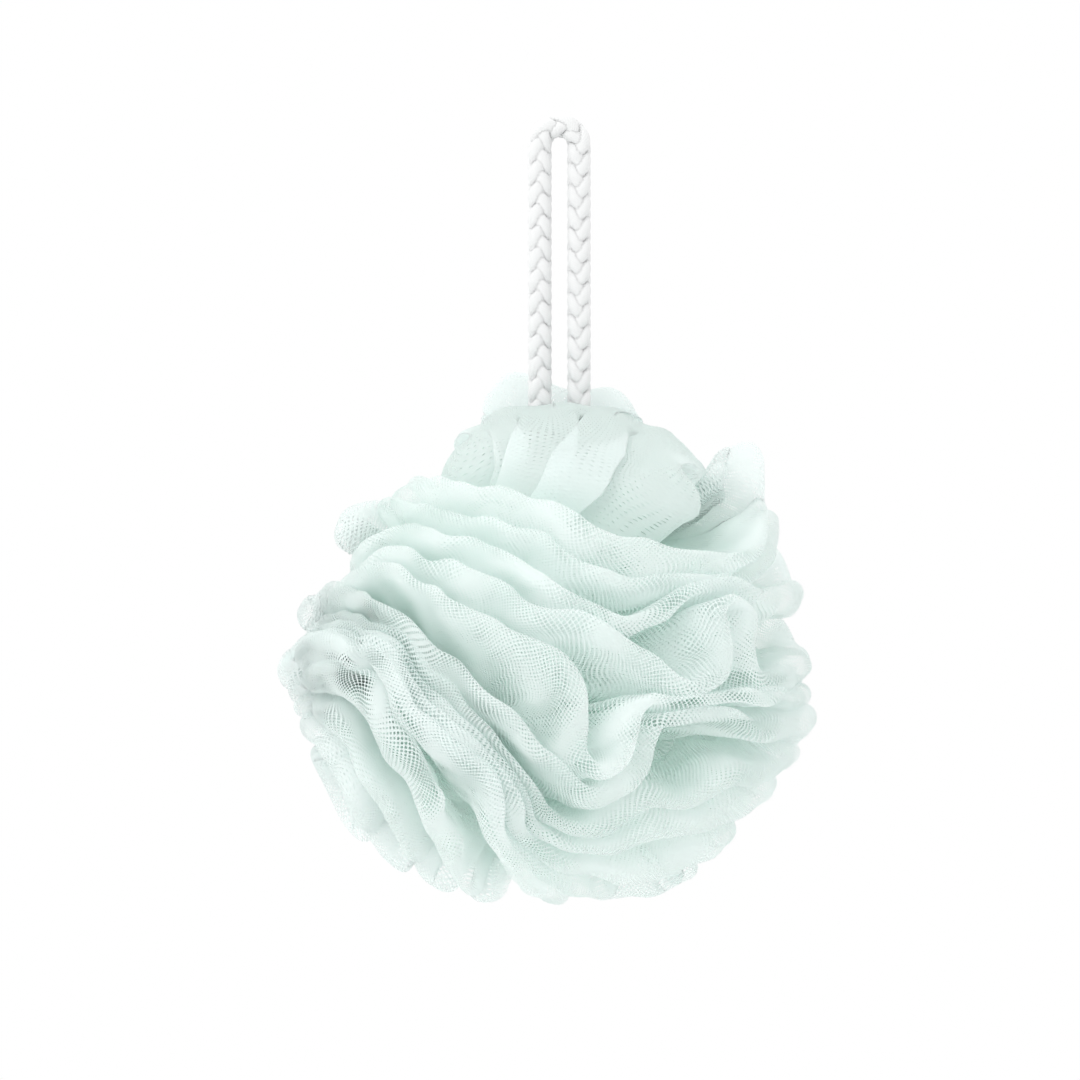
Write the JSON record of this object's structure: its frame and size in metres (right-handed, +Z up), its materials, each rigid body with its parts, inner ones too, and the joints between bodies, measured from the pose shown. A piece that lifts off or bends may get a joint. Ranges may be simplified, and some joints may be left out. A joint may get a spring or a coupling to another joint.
{
  "type": "mesh bath pouf",
  "caption": "Ball of gathered pale mint net on a white braided cord loop, for lathering soap in the bath and hanging up to dry.",
  "frame": {"origin": "inside of the hanging loop's top, where a hook bears", "axes": "+Z up along the hanging cord, -Y towards the viewer of the front, +X to that viewer's right"},
  "size_m": [0.1297, 0.1218, 0.1927],
  "materials": {
    "net": "fine open net, soft sheen",
    "cord": "braided, matt"
  },
  "bodies": {
    "root": {"mesh_pouf": "net", "hanging_cord": "cord", "cord_knot": "cord", "gather_tie": "cord"}
  },
  "joints": []
}
